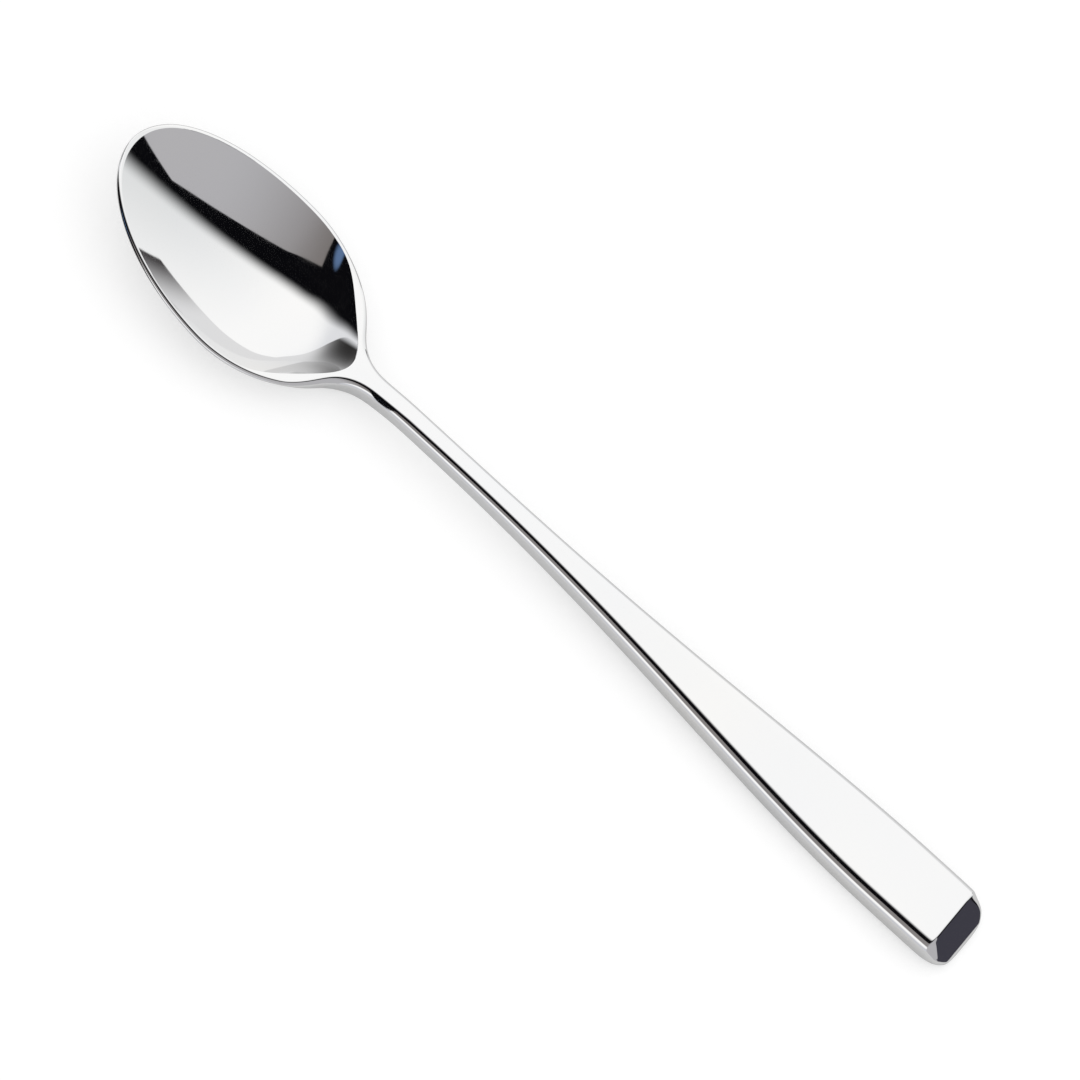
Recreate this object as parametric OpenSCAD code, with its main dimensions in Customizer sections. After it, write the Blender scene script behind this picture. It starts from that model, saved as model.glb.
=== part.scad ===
// Iced tea spoon in polished stainless steel, lying as it rests on a table.
// Long axis along X with the bowl's tip at the low end, width along Y, up is Z.
// The origin is under the middle of the spoon, on the table.

/* [Overall] */
// Length from the bowl's tip to the end of the handle
overall_length = 200; // [170:1:230]

/* [Bowl] */
// Length of the bowl, from its tip to the heel where the neck begins
bowl_length = 54.5; // [48:0.5:66]
// Widest outside width of the bowl
bowl_width = 35; // [26:0.2:40]
// Height of the rim above the table at the heel
heel_height = 6; // [5:0.1:8]
// How far the rim climbs from the heel to the tip
tip_rise = 7; // [3:0.1:10]
// Width of the flat rim, seen from above
rim_width = 0.9; // [0.8:0.1:1.6]
// Height of the rim's outer edge before the wall curves under
rim_edge = 0.7; // [0.4:0.1:1.2]
// Thickness of the metal at the bottom of the bowl
bowl_wall = 1.7; // [1.2:0.1:2.2]

/* [Neck] */
// Width of the neck at its slimmest
neck_width = 4.7; // [4:0.1:7]
// Thickness of the neck
neck_thickness = 3.8; // [2.8:0.1:4.6]
// Height of the neck's top face above the table
neck_height = 7.6; // [6.5:0.1:9.5]
// Distance from the bowl's heel to the slimmest place of the neck
neck_reach = 13.5; // [10:0.5:20]

/* [Handle] */
// Widest width of the handle, near its end
handle_width = 16.3; // [11:0.1:20]
// Thickness of the handle at its end
end_thickness = 5.5; // [4.4:0.1:7]
// How far the rounded edge of the top face reaches in from the handle's side
side_round = 2.4; // [1:0.1:2.8]
// How far the rounded edge of the underside reaches in from the handle's side
under_round = 3; // [1.5:0.1:4]
// Length of the sloping facet at the end, seen from above
end_facet = 4.3; // [3:0.1:6]
// Height of the rounding between the facet and the underside
end_round = 0.6; // [0.3:0.1:1]
// Length over which the end's corners round off in plan
corner_round = 9.5; // [4.5:0.1:12]
// Depth ground off the underside to leave the flat that the handle rests on
rest_cut = 0.15; // [0.08:0.01:0.3]

/* [Hidden] */

// Places along the spoon, measured from the bowl's tip
// The bowl is widest at this share of its length, and deepest at the next one
widest_share = 0.58;
keel_share = 0.68;
hollow_share = 0.62;
// The hollow stops short of the heel by this share of the bowl's length
heel_stop_share = 0.01;
// Toward the heel the hollow narrows by the first share of its width, starting at the second
// share of the bowl's length, so the rim widens there
hollow_taper_share = 0.33;
taper_start_share = 0.74;
taper_start = bowl_length * taper_start_share;
slim_place = bowl_length + neck_reach;
neck_start = bowl_length + neck_width / 2;
neck_end = slim_place + 2 * neck_width;
facet_start = overall_length - end_facet;
rise_start = overall_length - 2 * end_round;
corner_start = overall_length - corner_round;
hollow_tip = rim_width;
hollow_end = bowl_length * (1 - heel_stop_share);

// Shape exponents, all plain numbers
tip_power = 2.06;
heel_power = 1.88;
rim_sag_power = 1.9;
keel_tip_power = 1.8;
keel_heel_power = 1.5;
floor_power = 2;
swell_power = 1.36;
thicken_power = 1.2;
corner_power = 4;
belly_power = 1.75;
hollow_power = 2;

// The section's widest level lies at this share of the thickness below the top
waist_share = 0.56;
// The top face's rounded edge shrinks to this share of its reach as the bar gets slim
neck_round_share = 0.75;
// The handle reaches full width at this share of the length behind the neck
swell_share = 0.87;
// Its underside reaches the table at this share of the same length
touch_share = 0.835;
// The bowl's section starts to turn into the neck's bar at this share of the bowl's length
blend_start_share = 0.86;
// and has fully turned at this share of the neck's reach
blend_end_share = 0.7;
blend_start = bowl_length * blend_start_share;
blend_end = bowl_length + neck_reach * blend_end_share;
// Softness of the corner where the bowl's outline runs into the neck
shoulder_share = 0.8;
shoulder_soft = neck_width * shoulder_share;
// Half width of the narrow flat along the bottom of the bowl
keel_flat_share = 0.25;
keel_flat = rim_width * keel_flat_share;
// Height of the metal at the very tip
tip_edge_share = 1.4;
tip_edge = rim_edge * tip_edge_share;
// The hollow's wall at the heel rises this steeply, as rise over run, and blends into the floor
// with a softness that is a share of the metal's thickness
heel_wall_share = 0.8;
hollow_soft_share = 0.6;
hollow_soft = bowl_wall * hollow_soft_share;
// How far the hollow's cutter stands above the rim
cutter_lift = bowl_wall;
// Half width of the hollow's two pointed ends
hollow_point_share = 0.25;
hollow_point = rim_width * hollow_point_share;
// Height of the blunt edge that closes the handle's end
end_edge_share = 0.12;
end_edge = end_thickness * end_edge_share;

// Counts of steps and points
tip_steps = 20;
heel_steps = 26;
neck_steps = 14;
handle_steps = 44;
corner_steps = 4;
end_steps = 10;
upper_points = 6;
lower_points = 12;
hollow_steps = 26;
hollow_points = 26;
first_angle = 2;

function smooth(t) = t <= 0 ? 0 : (t >= 1 ? 1 : t * t * (3 - 2 * t));
function between(x, low, high) = (x - low) / (high - low);
function mix(a, b, t) = a + (b - a) * t;
function soft_max(a, b, soft) = (a + b + sqrt((a - b) * (a - b) + soft * soft)) / 2;
function clip(t) = max(0, min(1, t));

// Plan outline
// Half width of the egg that the bowl's outline follows, for a given margin inside it
function egg_span(x, margin) =
    x < bowl_length * widest_share
        ? between(x, bowl_length * widest_share, margin)
        : between(x, bowl_length * widest_share, bowl_length - margin);
function egg_half(x, half, margin) =
    let (r = clip(egg_span(x, margin)))
    let (p = x < bowl_length * widest_share ? tip_power : heel_power)
    half * pow(max(0, 1 - pow(r, p)), 1 / p);
// Half width of the neck and the handle
function bar_half(x) =
    let (full = mix(slim_place, overall_length, swell_share))
    let (t = clip(between(x, slim_place, full)))
    mix(neck_width, handle_width, smooth(pow(t, swell_power))) / 2;
function end_half(x) =
    let (r = clip(between(x, corner_start, overall_length)))
    bar_half(x) * pow(1 - pow(r * cos(first_angle), corner_power), 1 / corner_power);
// Outside half width of the whole spoon
function outer_half(x) =
    let (egg = egg_half(x, bowl_width / 2, 0))
    let (rise = smooth(between(x, bowl_length * widest_share, bowl_length)))
    let (soft = shoulder_soft * rise * (1 - smooth(between(x, bowl_length, slim_place))))
    x < bowl_length * widest_share
        ? max(egg, bowl_width / 2 * sin(first_angle))
        : (x < slim_place ? soft_max(egg, neck_width / 2, soft) : end_half(x));

// Lengthwise profile
// Height of the rim, and of the top face behind it
function rim_height(x) =
    heel_height + tip_rise * pow(clip(1 - x / bowl_length), rim_sag_power);
function keel_height(x) =
    let (place = bowl_length * keel_share)
    x < place
        ? (heel_height + tip_rise - tip_edge) * pow(1 - x / place, keel_tip_power)
        : (neck_height - neck_thickness)
            * smooth(pow(clip(between(x, place, slim_place)), keel_heel_power));
function bar_bottom(x) =
    let (touch = mix(slim_place, overall_length, touch_share))
    mix(neck_height - neck_thickness, -rest_cut, smooth(between(x, slim_place, touch)));
function bar_thickness(x) =
    let (t = clip(between(x, slim_place, overall_length)))
    mix(neck_thickness, end_thickness, pow(t, thicken_power)) + rest_cut * smooth(2 * t);
function facet_drop(x) =
    let (full = bar_thickness(overall_length) - end_round - end_edge)
    full * clip(between(x, facet_start, overall_length));
function end_rise(x) =
    let (r = clip(between(x, rise_start, overall_length)))
    end_round * (1 - sqrt(1 - r * r));
function top_height(x) =
    x < slim_place
        ? rim_height(x)
            + (neck_height - heel_height) * smooth(between(x, blend_start, slim_place))
        : bar_bottom(x) + bar_thickness(x) - facet_drop(x);
function bottom_height(x) = x < slim_place ? keel_height(x) : bar_bottom(x) + end_rise(x);

// Cross section at one place, from the right edge of the top face down and round
function ring(x) =
    let (m = smooth(between(x, blend_start, blend_end)))
    let (half = outer_half(x), top = top_height(x), low = bottom_height(x))
    let (full = bar_thickness(max(x, slim_place)))
    let (upper_full = waist_share * full)
    let (upper_left = max(end_edge * waist_share, upper_full - facet_drop(x)))
    let (upper = mix(rim_edge * min(1, (top - low) / (2 * rim_edge)), upper_left, m))
    let (grow = half / (handle_width / 2))
    let (round_top = m * side_round * mix(neck_round_share, 1, clip(grow)) * upper_left / upper_full)
    let (round_low = mix(half - keel_flat, under_round * clip(grow), m))
    let (power = mix(belly_power, 1, m))
    let (waist = top - upper)
    let (right = concat(
        [for (i = [0 : upper_points])
            let (a = 90 - 90 * i / upper_points)
            [x, half - round_top + round_top * cos(a), waist + upper * sin(a)]],
        [for (i = [1 : lower_points])
            let (a = 90 * i / lower_points)
            [x, half - round_low + round_low * cos(a), waist - (waist - low) * pow(sin(a), power)]]))
    concat(right, [for (i = [len(right) - 1 : -1 : 0]) [x, -right[i].y, right[i].z]]);

// Skin over a row of rings of equal count, closed by a flat face at each end
module loft(rings) {
    count = len(rings[0]);
    points = [for (r = rings) each r];
    sides = [for (k = [0 : len(rings) - 2], i = [0 : count - 1])
        let (a = k * count + i, b = k * count + (i + 1) % count)
        each [[a, b, a + count], [b, b + count, a + count]]];
    first = [for (i = [count - 1 : -1 : 0]) i];
    last = [for (i = [0 : count - 1]) (len(rings) - 1) * count + i];
    polyhedron(points = points, faces = concat(sides, [first, last]), convexity = 6);
}

// Stations along the spoon
function spread(low, high, steps) = [for (i = [0 : steps]) mix(low, high, i / steps)];
tip_places = [for (i = [0 : tip_steps - 1])
    let (a = mix(first_angle, 90, i / tip_steps))
    bowl_length * widest_share * (1 - cos(a) / cos(first_angle))];
bowl_places = concat(tip_places, spread(bowl_length * widest_share, neck_start, heel_steps));
neck_places = spread(neck_start, neck_end, neck_steps);
end_start = min(corner_start, facet_start);
end_middle = max(corner_start, facet_start);
corner_places = spread(end_start, end_middle, corner_steps);
end_places = [for (i = [0 : end_steps]) mix(end_middle, overall_length, sin(90 * i / end_steps))];
long_places = spread(neck_end, end_start, handle_steps);
handle_places = concat(
    [for (i = [0 : handle_steps - 1]) long_places[i]],
    [for (i = [0 : corner_steps - 1]) corner_places[i]],
    end_places);

// The hollow that holds the drink, reaching above the rim
function hollow_half(x) =
    let (taper = hollow_taper_share * smooth(between(x, taper_start, hollow_end)))
    max(hollow_point, egg_half(x, bowl_width / 2 - rim_width, rim_width) * (1 - taper));
function hollow_depth(x) =
    let (place = bowl_length * hollow_share)
    let (full = top_height(place) - bowl_wall - keel_height(place))
    let (r = abs(x - place) / (place - hollow_tip))
    let (floor = full * (1 - pow(r, floor_power)), wall = heel_wall_share * (hollow_end - x))
    floor + wall - soft_max(floor, wall, hollow_soft);
function hollow_ring(x) =
    let (half = hollow_half(x), top = top_height(x), deep = max(hollow_point, hollow_depth(x)))
    concat(
        [[x, half, top + cutter_lift]],
        [for (i = [0 : hollow_points])
            let (a = 180 * i / hollow_points)
            [x, half * cos(a), top - deep * pow(sin(a), hollow_power)]],
        [[x, -half, top + cutter_lift]]);
hollow_places = [for (i = [0 : hollow_steps])
    mix(hollow_tip, hollow_end, (1 - cos(180 * i / hollow_steps)) / 2)];

module centred() {
    translate([-overall_length / 2, 0, 0])
        children();
}

// The dished bowl with its flat rim and thick heel
module bowl() {
    color("silver")
        centred()
            difference() {
                loft([for (x = bowl_places) ring(x)]);
                loft([for (x = hollow_places) hollow_ring(x)]);
            }
}

// The slim bar that lifts from the heel
module neck() {
    color("lightgray")
        centred()
            loft([for (x = neck_places) ring(x)]);
}

// The flaring handle, thickest at its end, with a flat ground under it to rest on
module handle() {
    color("gainsboro")
        centred()
            difference() {
                loft([for (x = handle_places) ring(x)]);
                translate([0, -handle_width, -end_thickness])
                    cube([overall_length + end_facet, 2 * handle_width, end_thickness]);
            }
}

bowl();
neck();
handle();
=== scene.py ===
import math

import bmesh
import bpy
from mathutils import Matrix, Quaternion, Vector


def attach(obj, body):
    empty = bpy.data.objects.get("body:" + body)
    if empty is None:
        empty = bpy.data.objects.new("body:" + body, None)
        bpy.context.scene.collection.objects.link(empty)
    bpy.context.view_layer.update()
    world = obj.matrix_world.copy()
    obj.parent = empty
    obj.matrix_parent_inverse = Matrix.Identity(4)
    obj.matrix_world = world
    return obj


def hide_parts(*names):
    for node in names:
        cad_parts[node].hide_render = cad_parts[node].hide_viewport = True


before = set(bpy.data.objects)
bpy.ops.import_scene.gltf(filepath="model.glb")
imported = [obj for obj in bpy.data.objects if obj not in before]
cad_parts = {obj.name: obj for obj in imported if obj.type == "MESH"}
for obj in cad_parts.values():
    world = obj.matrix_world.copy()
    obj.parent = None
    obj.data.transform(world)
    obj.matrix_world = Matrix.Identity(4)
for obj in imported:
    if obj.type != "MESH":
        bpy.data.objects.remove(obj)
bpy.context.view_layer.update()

# The forged blank.
# The spoon starts as one bar of stainless steel, rolled thin for the bowl, drawn slim for the neck
# and left thick for the handle, then forged and trimmed to its outline. Sizes are in millimetres,
# and places along the spoon are measured from the bowl's tip.
MM = 0.001
LENGTH = 200
# The bowl is an egg seen from above, widest nearer the heel, and its rim climbs toward the tip.
BOWL_LENGTH, BOWL_WIDTH = 54.5, 35
WIDEST, KEEL = BOWL_LENGTH * 0.58, BOWL_LENGTH * 0.68
TIP_POWER, HEEL_POWER = 2.06, 1.88
BLUNT_TIP = BOWL_WIDTH / 2 * math.sin(math.radians(2))
HEEL_HEIGHT, TIP_RISE, RISE_POWER = 6, 7, 1.9
RIM_WIDTH, RIM_EDGE, RIM_SOFT, TIP_THICKNESS = 0.9, 0.55, 0.95, 1.12
# Below the rim its belly is lean toward the tip and fuller toward the heel, down to a narrow flat.
KEEL_FLAT = RIM_WIDTH / 4
KEEL_POWER, NECK_LIFT_POWER = 1.8, 1.5
BELLY_START, BELLY_END = WIDEST * 0.7, BOWL_LENGTH * 0.8
TIP_BELLY, HEEL_BELLY = 2, 1.65
# A fillet joins the egg to the neck, and the section turns there from a dish into a bar.
FILLET_START, FILLET_END, FILLET_POWER = BOWL_LENGTH * 0.956, BOWL_LENGTH * 1.138, 3
TURN_START, TURN_END = BOWL_LENGTH * 0.86, BOWL_LENGTH * 1.03
NECK_WIDTH, NECK_THICKNESS, NECK_HEIGHT, NECK_REACH = 4.7, 3.8, 7.6, 13.5
SLIM = BOWL_LENGTH + NECK_REACH
# The handle swells in width and thickness, and its underside comes down to the table.
HANDLE_WIDTH, SWELL_END, SWELL_POWER = 15.9, 0.87, 1.36
END_THICKNESS, THICKEN_POWER = 5.5, 1.2
TOUCH, REST_CUT = 0.835, 0.15
# Its widest level lies at the waist, a share of the thickness below its flat top. A rounded edge
# takes up part of that, and the rest is a steep side.
WAIST, EDGE_SHARE = 0.56, 0.31
SIDE_ROUND, NECK_ROUND_SHARE, UNDER_ROUND = 3.2, 0.52, 3
# A sloping facet closes it. Its corners are round seen from above, and stop a little short of
# closing to a point, and the end edge below it is thin and rounded.
END_FACET, END_ROUND, NOSE_SHARE, END_EDGE = 5, 0.6, 0.75, END_THICKNESS * 0.16
CORNER_ROUND, CORNER_POWER, CORNER_REACH = 8.8, 4, math.cos(math.radians(2))
FACET_START = LENGTH - END_FACET
# Points of half the section: the top, its rounded edge, the side and underside, and the keel.
TOP_POINTS, EDGE_POINTS, SIDE_POINTS, KEEL_POINTS = 3, 5, 7, 2
# Rows of sections along the spoon, and more where it turns: at the tip and round the end.
BOWL_ROWS, NECK_ROWS, HANDLE_ROWS, FACET_ROWS = 7, 22, 22, 4
TIP_ANGLES = (2, 8, 15, 23, 31, 40, 49, 58, 67, 76, 84)
CORNER_STEPS, END_ANGLES = (0, 1.4, 2.7), (0, 22, 42, 60, 76, 90)
# Rows this close to a crease keep it tight when the blank is smoothed, and points closer than the
# weld are one.
CREASE_GAP, WELD = 0.35, 0.01


def clip(t):
    return min(1, max(0, t))


def smooth(t):
    t = clip(t)
    return t * t * (3 - 2 * t)


def between(x, low, high):
    return (x - low) / (high - low)


def mix(a, b, t):
    return a + (b - a) * t


def fall(t):
    """Drop of a quarter circle of radius 1, from 0 where it starts to 1 where it ends."""
    t = clip(t)
    return 1 - math.sqrt(1 - t * t)


def egg(x):
    """Half width of the egg that the bowl's outline follows."""
    reach, power = clip(between(x, WIDEST, BOWL_LENGTH)), HEEL_POWER
    if x < WIDEST:
        reach, power = clip(between(x, WIDEST, 0)), TIP_POWER
    return BOWL_WIDTH / 2 * (1 - reach ** power) ** (1 / power)


def half_width(x):
    if x < FILLET_START:
        return max(egg(x), BLUNT_TIP)
    if x < SLIM:
        fillet = (1 - clip(between(x, FILLET_START, FILLET_END))) ** FILLET_POWER
        return mix(NECK_WIDTH / 2, egg(FILLET_START), fillet)
    swell = smooth(clip(between(x, SLIM, mix(SLIM, LENGTH, SWELL_END))) ** SWELL_POWER)
    corner = clip(between(x, LENGTH - CORNER_ROUND, LENGTH)) * CORNER_REACH
    half = mix(NECK_WIDTH, HANDLE_WIDTH, swell) / 2
    return half * (1 - corner ** CORNER_POWER) ** (1 / CORNER_POWER)


def thickness(x):
    """Thickness of the bar that makes the neck and the handle."""
    t = clip(between(x, SLIM, LENGTH))
    return mix(NECK_THICKNESS, END_THICKNESS, t ** THICKEN_POWER) + REST_CUT * smooth(2 * t)


def rim_height(x):
    return HEEL_HEIGHT + TIP_RISE * clip(1 - x / BOWL_LENGTH) ** RISE_POWER


def facet_drop(x):
    """How far the end facet and the rounding at its foot lie below the line of the flat top."""
    full = thickness(LENGTH) - END_ROUND - END_EDGE
    foot = END_ROUND * NOSE_SHARE * fall(between(x, LENGTH - END_ROUND, LENGTH))
    return full * clip(between(x, FACET_START, LENGTH)) + foot


def top_and_keel(x):
    """Heights of the blank along its middle, above and below."""
    if x < SLIM:
        lift = smooth(between(x, TURN_START, SLIM))
        top = rim_height(x) + (NECK_HEIGHT - HEEL_HEIGHT) * lift
        if x < KEEL:
            tip = HEEL_HEIGHT + TIP_RISE - TIP_THICKNESS
            return top, tip * (1 - x / KEEL) ** KEEL_POWER
        rise = smooth(between(x, KEEL, SLIM) ** NECK_LIFT_POWER)
        return top, (NECK_HEIGHT - NECK_THICKNESS) * rise
    sink = smooth(between(x, SLIM, mix(SLIM, LENGTH, TOUCH)))
    under = mix(NECK_HEIGHT - NECK_THICKNESS, -REST_CUT, sink)
    end_rise = END_ROUND * fall(between(x, LENGTH - 2 * END_ROUND, LENGTH))
    return under + thickness(x) - facet_drop(x), max(0, under + end_rise)


def section(x):
    """Right half of the blank's cross section, as points from the middle of its top to its keel."""
    half, full = half_width(x), thickness(x)
    top, low = top_and_keel(x)
    turn = smooth(between(x, TURN_START, TURN_END))
    grow = clip(2 * half / HANDLE_WIDTH)
    bar_upper = max(END_EDGE * WAIST, WAIST * full - facet_drop(x))
    rim_upper = RIM_EDGE * min(1, (top - low) / (2 * RIM_EDGE))
    upper = mix(rim_upper, bar_upper, turn)
    waist = top - upper
    edge = min(upper, mix(upper, EDGE_SHARE * full, turn))
    bar_soft = SIDE_ROUND * mix(NECK_ROUND_SHARE, 1, grow) * bar_upper / (WAIST * full)
    flat = half - mix(min(RIM_SOFT, half / 2), bar_soft, turn)
    under = mix(half - KEEL_FLAT, UNDER_ROUND * grow, turn)
    belly = mix(TIP_BELLY, HEEL_BELLY, smooth(between(x, BELLY_START, BELLY_END)))
    power = mix(belly, 1, turn)
    points = [(0, top), (flat / 2, top), (flat - min(CREASE_GAP, flat / 5), top)]
    for step in range(EDGE_POINTS):
        a = math.pi / 2 * (1 - step / (EDGE_POINTS - 1))
        points.append((mix(flat, half, math.cos(a)), top - edge + edge * math.sin(a)))
    for step in range(1, SIDE_POINTS + 1):
        a = math.pi / 2 * step / SIDE_POINTS
        points.append((half - under + under * math.cos(a),
                       waist - (waist - low) * math.sin(a) ** power))
    return points + [((half - under) / 2, low), (0, low)]


def place(x, y, z):
    """A point measured from the bowl's tip in millimetres, in the frame's metres."""
    return Vector(((x - LENGTH / 2) * MM, y * MM, z * MM))


def pick(kind, test):
    """Selects the verts or edges of the mesh in edit mode that pass a test."""
    mesh = bpy.context.object.data
    bpy.ops.mesh.select_mode(type={"verts": "VERT", "edges": "EDGE"}[kind])
    bpy.ops.mesh.select_all(action="DESELECT")
    shape = bmesh.from_edit_mesh(mesh)
    for item in getattr(shape, kind):
        if test(item):
            item.select_set(True)
    bmesh.update_edit_mesh(mesh)


def move_row(starts, targets):
    """Moves the selected vertex nearest to each start to its target, one after the other."""
    shape = bmesh.from_edit_mesh(bpy.context.object.data)
    chosen = [v for v in shape.verts if v.select]
    row = [min(chosen, key=lambda v: (v.co - start).length_squared) for start in starts]
    for vertex in row:
        vertex.select_set(False)
    for vertex, target in zip(row, targets):
        vertex.select_set(True)
        bpy.ops.transform.translate(value=target - vertex.co)
        vertex.select_set(False)
    for vertex in row:
        vertex.select_set(True)
    shape.select_flush(True)


def finish_modifier(item, kind, **settings):
    """Adds a modifier with its settings and applies it."""
    bpy.ops.object.select_all(action="DESELECT")
    item.select_set(True)
    bpy.context.view_layer.objects.active = item
    modifier = item.modifiers.new(kind.title(), kind)
    for name, value in settings.items():
        setattr(modifier, name, value)
    bpy.ops.object.modifier_apply(modifier=modifier.name)


def spread(low, high, steps):
    return [mix(low, high, i / steps) for i in range(steps)]


stations = [WIDEST * (1 - math.cos(math.radians(a))) for a in TIP_ANGLES]
stations += spread(WIDEST, TURN_START, BOWL_ROWS)
stations += spread(TURN_START, SLIM, NECK_ROWS)
stations += spread(SLIM, LENGTH - CORNER_ROUND, HANDLE_ROWS)
stations += [LENGTH - CORNER_ROUND + step for step in CORNER_STEPS]
stations += [FACET_START - CREASE_GAP, FACET_START]
stations += spread(FACET_START + CREASE_GAP, LENGTH - END_ROUND, FACET_ROWS)
stations += [LENGTH - END_ROUND * (1 - math.sin(math.radians(a))) for a in END_ANGLES]

# A half circle of points is pulled to the first section, and extruded from each to the next.
half_points = TOP_POINTS + EDGE_POINTS + SIDE_POINTS + KEEL_POINTS
bpy.ops.object.select_all(action="DESELECT")
bpy.ops.mesh.primitive_circle_add(vertices=2 * (half_points - 1), radius=MM,
                                  rotation=(0, math.pi / 2, 0), location=place(0, 0, 0))
blank = bpy.context.object
blank.name = "spoon_blank"
bpy.ops.object.transform_apply(location=True, rotation=True, scale=True)
bpy.ops.object.mode_set(mode="EDIT")
pick("verts", lambda v: v.co.y < -WELD * MM)
bpy.ops.mesh.delete(type="VERT")
bpy.ops.mesh.select_all(action="SELECT")
row = [v.co.copy() for v in sorted(bmesh.from_edit_mesh(blank.data).verts, key=lambda v: -v.co.z)]
move_row(row, [place(stations[0], y, z) for y, z in section(stations[0])])
for before, x in zip(stations, stations[1:]):
    bpy.ops.mesh.extrude_region_move(TRANSFORM_OT_translate={"value": ((x - before) * MM, 0, 0)})
    move_row([place(x, y, z) for y, z in section(before)],
             [place(x, y, z) for y, z in section(x)])
bpy.ops.object.mode_set(mode="OBJECT")
finish_modifier(blank, "MIRROR", use_axis=(False, True, False), merge_threshold=WELD * MM)
bpy.ops.object.mode_set(mode="EDIT")
for is_end in (lambda v: v.co.x < place(stations[1], 0, 0).x,
               lambda v: v.co.x > place(stations[-2], 0, 0).x):
    pick("edges", lambda e: e.is_boundary and is_end(e.verts[0]))
    bpy.ops.mesh.edge_face_add()
bpy.ops.mesh.select_all(action="SELECT")
bpy.ops.mesh.normals_make_consistent(inside=False)
bpy.ops.object.mode_set(mode="OBJECT")
finish_modifier(blank, "SUBSURF", levels=2, render_levels=2)

# The hollow of the bowl.
# A punch presses it into the blank, with a long shallow floor that a steeper wall closes at the
# heel. Here the punch is formed ring by ring from the rim inward, and its shape is cut out.
HOLLOW_CENTRE, HOLLOW_END = BOWL_LENGTH * 0.62, BOWL_LENGTH * 0.99
TAPER_START, HOLLOW_TAPER = BOWL_LENGTH * 0.74, 0.33
HOLLOW_DEPTH, HEEL_WALL, HOLLOW_SOFT = 5.25, 0.76, 1
HOLLOW_POINTS = 48
HOLLOW_RINGS = (1, 0.97, 0.93, 0.88, 0.82, 0.74, 0.65, 0.55, 0.45, 0.35, 0.25, 0.15, 0.06)
PUNCH_LIFTS = (1.5, 3)


def hollow_half(x):
    """Half width of the hollow, which narrows toward the heel so that the rim widens there."""
    reach, power = clip(between(x, WIDEST, HOLLOW_END)), HEEL_POWER
    if x < WIDEST:
        reach, power = clip(between(x, WIDEST, RIM_WIDTH)), TIP_POWER
    full = (BOWL_WIDTH / 2 - RIM_WIDTH) * (1 - reach ** power) ** (1 / power)
    return full * (1 - HOLLOW_TAPER * smooth(between(x, TAPER_START, HOLLOW_END)))


def hollow_depth(x):
    """Depth below the rim along the middle, where a steep wall cuts the long floor off."""
    reach = abs(x - HOLLOW_CENTRE) / (HOLLOW_CENTRE - RIM_WIDTH)
    floor = HOLLOW_DEPTH * (1 - reach ** 2)
    wall = HEEL_WALL * (HOLLOW_END - x)
    return max(0, (floor + wall - math.hypot(floor - wall, HOLLOW_SOFT)) / 2)


def hollow_point(angle, share):
    """Point of the hollow at a share of the way from its deepest place out to the rim."""
    reach = WIDEST - RIM_WIDTH if math.cos(angle) < 0 else HOLLOW_END - WIDEST
    far = WIDEST + reach * math.cos(angle)
    x = mix(HOLLOW_CENTRE, far, share)
    y = hollow_half(far) * math.copysign(share, math.sin(angle))
    if share == 1:
        return place(x, y, rim_height(x))
    across = clip(abs(y) / hollow_half(x))
    return place(x, y, rim_height(x) - hollow_depth(x) * (1 - across ** 2))


bpy.ops.object.select_all(action="DESELECT")
bpy.ops.mesh.primitive_circle_add(vertices=HOLLOW_POINTS, radius=MM, location=place(WIDEST, 0, 0))
punch = bpy.context.object
punch.name = "bowl_punch"
bpy.ops.object.transform_apply(location=True, rotation=True, scale=True)
bpy.ops.object.mode_set(mode="EDIT")
row = [v.co.copy() for v in bmesh.from_edit_mesh(punch.data).verts]
angles = [math.atan2(v.y, v.x - place(WIDEST, 0, 0).x) for v in row]
bpy.ops.mesh.select_all(action="SELECT")
for share in HOLLOW_RINGS:
    if share < 1:
        bpy.ops.mesh.extrude_region_move()
    targets = [hollow_point(angle, share) for angle in angles]
    move_row(row, targets)
    row = targets
bpy.ops.mesh.extrude_region_move()
bpy.ops.mesh.merge(type="CENTER")
pick("edges", lambda e: e.is_boundary)
bpy.ops.transform.edge_crease(value=1)
for lift in PUNCH_LIFTS:
    bpy.ops.mesh.extrude_region_move(TRANSFORM_OT_translate={"value": (0, 0, lift * MM)})
bpy.ops.mesh.edge_face_add()
bpy.ops.mesh.select_all(action="SELECT")
bpy.ops.mesh.normals_make_consistent(inside=False)
bpy.ops.object.mode_set(mode="OBJECT")
finish_modifier(punch, "SUBSURF", levels=2, render_levels=2)
finish_modifier(blank, "BOOLEAN", object=punch, operation="DIFFERENCE", solver="EXACT")
bpy.data.objects.remove(punch)

# The bowl.
# It is the dished end of the stainless forging, with a narrow bright rim. It was pressed with the
# punch, trimmed to its outline, and polished together with the neck and the handle.


def linear(text):
    """An sRGB hex colour as linear light."""
    values = [int(text[i:i + 2], 16) / 255 for i in (1, 3, 5)]
    return [v / 12.92 if v <= 0.04045 else ((v + 0.055) / 1.055) ** 2.4 for v in values] + [1]


def add(tree, kind, settings=(), links=()):
    """Adds a node, sets its properties and sockets, and links outputs of other nodes into it."""
    node = tree.nodes.new(kind)
    for name, value in dict(settings).items():
        if isinstance(name, int) or name in node.inputs:
            node.inputs[name].default_value = value
        else:
            setattr(node, name, value)
    for name, output in dict(links).items():
        tree.links.new(output, node.inputs[name])
    return node


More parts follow.
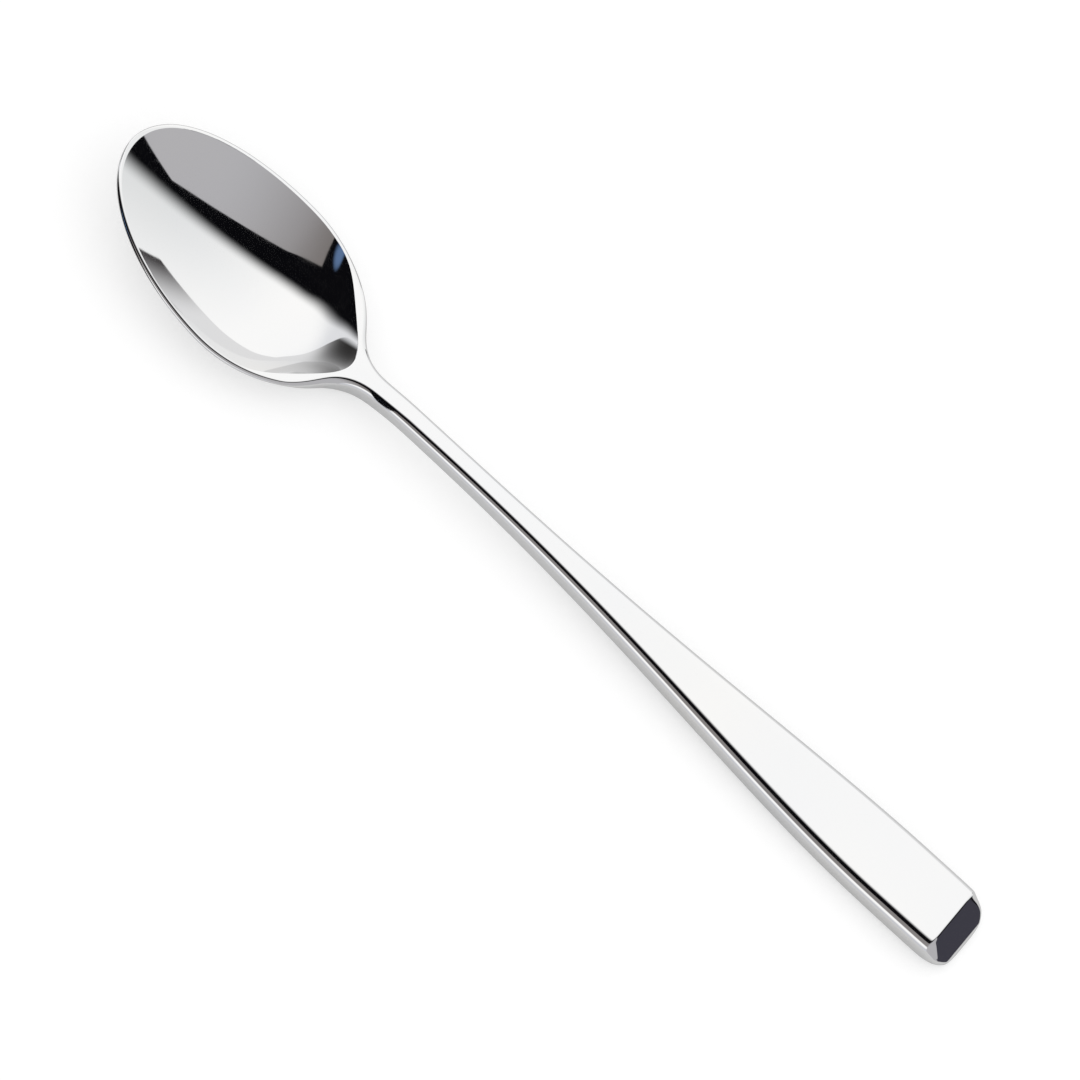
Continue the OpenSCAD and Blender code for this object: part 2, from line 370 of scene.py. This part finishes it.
# 18/10 stainless steel, mirror-polished: the forging was buffed with compound on soft wheels. The
# eye sees a clear mirror, a faint drift of tone, and buffing marks that run along the spoon. The
# real marks are a few hundredths of a millimetre apart, too fine to show, and are drawn 0.4 mm
# apart. Haze and drift are as broad as the wheels leave them.
MARK_LENGTH, MARK_SPACING, MARK_DEPTH = 12, 0.4, 0.0002
HAZE_SIZE, DRIFT_SIZE = 3, 25
PATCH_LOW, PATCH_HIGH, CLEAREST, CLOUDIEST = 0.1, 0.4, 0.025, 0.06
steel = bpy.data.materials.new("mirror_polished_stainless")
steel.use_nodes = True
tree = steel.node_tree
tree.nodes.clear()
spot = add(tree, "ShaderNodeTexCoord").outputs["Object"]
along = add(tree, "ShaderNodeMapping", {"Scale": (MARK_SPACING / MARK_LENGTH, 1, 1)},
            {"Vector": spot}).outputs["Vector"]
marks, haze, drift = (
    add(tree, "ShaderNodeTexNoise", {"Scale": 1 / (size * MM), "Detail": detail},
        {"Vector": vector}).outputs["Fac"]
    for size, detail, vector in ((MARK_SPACING, 2, along), (HAZE_SIZE, 3, spot),
                                 (DRIFT_SIZE, 1, spot)))
patch = add(tree, "ShaderNodeMath", {"operation": "MULTIPLY"}, {0: marks, 1: haze}).outputs[0]
rough = add(tree, "ShaderNodeMapRange", {"From Min": PATCH_LOW, "From Max": PATCH_HIGH,
                                         "To Min": CLEAREST, "To Max": CLOUDIEST},
            {"Value": patch}).outputs["Result"]
tone = add(tree, "ShaderNodeMix", {"data_type": "RGBA", 6: linear("#E8E9EB"), 7: linear("#EFEEEC")},
           {0: drift}).outputs[2]
grain = add(tree, "ShaderNodeBump", {"Strength": 1, "Distance": MARK_DEPTH * MM},
            {"Height": marks}).outputs["Normal"]
metal = add(tree, "ShaderNodeBsdfPrincipled", {"Metallic": 1},
            {"Base Color": tone, "Roughness": rough, "Normal": grain}).outputs["BSDF"]
add(tree, "ShaderNodeOutputMaterial", (), {"Surface": metal})

# Edges that turn more sharply than this stay crisp.
CREASE_ANGLE = math.radians(32)
NECK_START, NECK_END = BOWL_LENGTH + NECK_WIDTH / 2, SLIM + 2 * NECK_WIDTH


def cut_piece(name, start, end):
    """Copies the blank and keeps the stretch of it between two plane cuts."""
    piece = blank.copy()
    piece.data = blank.data.copy()
    piece.name = piece.data.name = name
    bpy.context.collection.objects.link(piece)
    bpy.ops.object.select_all(action="DESELECT")
    piece.select_set(True)
    bpy.context.view_layer.objects.active = piece
    bpy.ops.object.mode_set(mode="EDIT")
    for x, side in ((start, -1), (end, 1)):
        if 0 < x < LENGTH:
            bpy.ops.mesh.select_all(action="SELECT")
            bpy.ops.mesh.bisect(plane_co=place(x, 0, 0), plane_no=(side, 0, 0),
                                use_fill=True, clear_outer=True)
    bpy.ops.object.mode_set(mode="OBJECT")
    bpy.ops.object.shade_smooth_by_angle(angle=CREASE_ANGLE)
    piece.data.materials.clear()
    piece.data.materials.append(steel)
    return piece


bowl = cut_piece("spoon_bowl", 0, NECK_START)
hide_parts("bowl")
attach(bowl, "root")

# The neck.
# It is the slimmest stretch of the same stainless forging, drawn out of the heel of the bowl and
# lifted clear of the table. It meets bowl and handle face to face, on plane cuts.
neck = cut_piece("spoon_neck", NECK_START, NECK_END)
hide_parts("neck")
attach(neck, "root")

# The handle.
# It is the thick end of the stainless forging, with a flat top, rounded long edges, and a facet
# ground across its end. It rests on a narrow flat that was ground under it.
handle = cut_piece("spoon_handle", NECK_END, LENGTH)
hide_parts("handle")
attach(handle, "root")
bpy.data.objects.remove(blank)

# The studio.
# A plain pale floor carries the spoon and keeps its soft shadow. Plain white light comes from all
# round, and what the steel mirrors is made of a few large areas, each painted over the last.
# The camera sees the grey floor lifted to white by its own glow, and the steel sees a little glow.
FLOOR_SIZE, FLOOR_GAP = 8, 0.02
FLOOR_LIFT, FLOOR_MIRRORED = 0.5, 0.12
MIRRORED_LIGHT = 1.12
bpy.ops.object.select_all(action="DESELECT")
bpy.ops.mesh.primitive_plane_add(size=FLOOR_SIZE, location=(0, 0, -FLOOR_GAP * MM))
floor = bpy.context.object
floor.name = "floor"
paint = bpy.data.materials.new("white_floor_paint")
paint.use_nodes = True
tree = paint.node_tree
tree.nodes.clear()
ray = add(tree, "ShaderNodeLightPath").outputs
body = add(tree, "ShaderNodeBsdfDiffuse", {"Color": linear("#C4C4C4")})
mirrored = add(tree, "ShaderNodeMath", {"operation": "MULTIPLY", 1: FLOOR_MIRRORED},
               {0: ray["Is Glossy Ray"]}).outputs[0]
seen = add(tree, "ShaderNodeMath", {"operation": "MULTIPLY_ADD", 1: FLOOR_LIFT},
           {0: ray["Is Camera Ray"], 2: mirrored}).outputs[0]
lift = add(tree, "ShaderNodeEmission", {"Color": linear("#FFFFFF")}, {"Strength": seen})
both = add(tree, "ShaderNodeAddShader", (), {0: body.outputs[0], 1: lift.outputs[0]})
add(tree, "ShaderNodeOutputMaterial", (), {"Surface": both.outputs[0]})
floor.data.materials.append(paint)

# Directions from the spoon: toward the handle's end and the bowl's tip, and across it.
TO_END, TO_TIP, NEAR, FAR = (1, 0, 0), (-1, 0, 0), (0, -1, 0), (0, 1, 0)
UP, DOWN = (0, 0, 1), (0, 0, -1)
GAP_EDGE, CARD_EDGE, WALL_EDGE = (-0.62, 1, 0.33), (0.82, -1, -0.65), (-1, 0.59, 0)
WINDOW = (-0.267, -0.556, 0.787)
world = bpy.data.worlds.new("studio")
bpy.context.scene.world = world
world.use_nodes = True
tree = world.node_tree
tree.nodes.clear()
look = add(tree, "ShaderNodeTexCoord").outputs["Generated"]


def cover(under, over, *areas):
    """Paints a colour over another where any of the areas lies. An area lies where all of its
    edges do, and an edge fades in as the look's share along its direction goes from low to high."""
    mask = None
    for edges in areas:
        area = None
        for direction, low, high in edges:
            along = add(tree, "ShaderNodeVectorMath", {"operation": "DOT_PRODUCT", 1: direction},
                        {0: look}).outputs["Value"]
            edge = add(tree, "ShaderNodeMapRange",
                       {"interpolation_type": "SMOOTHSTEP", "From Min": low, "From Max": high},
                       {"Value": along}).outputs["Result"]
            area = edge if area is None else add(
                tree, "ShaderNodeMath", {"operation": "MULTIPLY"}, {0: area, 1: edge}).outputs[0]
        mask = area if mask is None else add(
            tree, "ShaderNodeMath", {"operation": "MAXIMUM"}, {0: mask, 1: area}).outputs[0]
    settings, links = {"data_type": "RGBA"}, {0: mask}
    for socket, colour in ((6, under), (7, over)):
        if isinstance(colour, str):
            settings[socket] = linear(colour)
        else:
            links[socket] = colour
    return add(tree, "ShaderNodeMix", settings, links).outputs[2]


# A broad soft box overhead and on the far side, greyer at both ends.
soft_box = cover("#E2E3E6", "#FFFFFF", [(TO_END, -0.75, -0.15)])
soft_box = cover(soft_box, "#DDDFE0", [(TO_END, 0, 0.8)])
# A grey card on the near side, paler toward the handle, and the lit studio that shows below it.
beyond = cover("#C9CAD0", "#FFFFFF", [(UP, 0.35, 0.65)])
card = cover("#7A7573", "#B4B3B6", [(TO_END, -0.15, 0.6)])
card = cover(card, beyond, [(NEAR, 0.58, 0.66)])
# The card stands in a dark gap, which ends where the soft box begins.
near_side = cover("#08080B", card,
                  [(CARD_EDGE, -0.315, -0.305), (TO_END, -0.105, -0.09), (NEAR, -0.41, -0.4)])
view = cover(near_side, soft_box, [(GAP_EDGE, 0.28, 0.46)])
# The walls show low down at both ends, and behind the tip. They are dark toward the tip and toward
# the handle's end, and pale between.
wall = cover("#141110", "#E2E2E3", [(TO_END, -1, -0.3)])
wall = cover(wall, "#231D1F", [(TO_END, 0.13, 0.35)])
wall = cover(wall, "#3E3D46", [(TO_END, 0.5, 0.7)])
far_side, low_down = (FAR, -0.25, -0.05), (DOWN, -0.245, -0.235)
view = cover(view, wall,
             [far_side, low_down, (TO_TIP, -0.335, -0.325)],
             [far_side, low_down, (TO_END, 0.75, 0.8)],
             [far_side, (WALL_EDGE, 0.795, 0.805)])
# One small window high up on the near side.
view = cover(view, "#5A7398", [(WINDOW, 0.992, 0.9995)])
mirror = add(tree, "ShaderNodeBackground", {"Strength": MIRRORED_LIGHT}, {"Color": view})
plain = add(tree, "ShaderNodeBackground", {"Color": linear("#FFFFFF"), "Strength": 1})
glossy = add(tree, "ShaderNodeLightPath").outputs["Is Glossy Ray"]
sky = add(tree, "ShaderNodeMixShader", (), {0: glossy, 1: plain.outputs[0], 2: mirror.outputs[0]})
add(tree, "ShaderNodeOutputWorld", (), {"Surface": sky.outputs[0]})

# The camera.
# It stands on the near side, well above the table, rolled so that the spoon lies across the
# picture's diagonal, and its long lens keeps the spoon's sides almost parallel.
CAMERA_TURN, CAMERA_HEIGHT, CAMERA_ROLL = (math.radians(a) for a in (-93.2, 61, 45.35))
CAMERA_DISTANCE, FOCAL_PIXELS, PICTURE, SENSOR = 1.5, 8716, 1080, 36
AIM_RIGHT, AIM_UP, AIM_HEIGHT = -12.4, 1.9, 8
NEAREST, FARTHEST = 0.01, 50
away = Vector((math.cos(CAMERA_HEIGHT) * math.cos(CAMERA_TURN),
               math.cos(CAMERA_HEIGHT) * math.sin(CAMERA_TURN), math.sin(CAMERA_HEIGHT)))
turned = away.to_track_quat("Z", "Y") @ Quaternion((0, 0, 1), CAMERA_ROLL)
pixel = CAMERA_DISTANCE / FOCAL_PIXELS
aim = Vector((0, 0, AIM_HEIGHT * MM)) + turned @ Vector((AIM_RIGHT * pixel, AIM_UP * pixel, 0))
lens = bpy.data.cameras.new("camera")
lens.sensor_width = SENSOR
lens.lens = FOCAL_PIXELS / PICTURE * SENSOR
lens.clip_start, lens.clip_end = NEAREST, FARTHEST
camera = bpy.data.objects.new("camera", lens)
camera.rotation_mode = "QUATERNION"
camera.rotation_quaternion = turned
camera.location = aim + away * CAMERA_DISTANCE
bpy.context.collection.objects.link(camera)
bpy.context.scene.camera = camera
bpy.context.scene.view_settings.view_transform = "Standard"
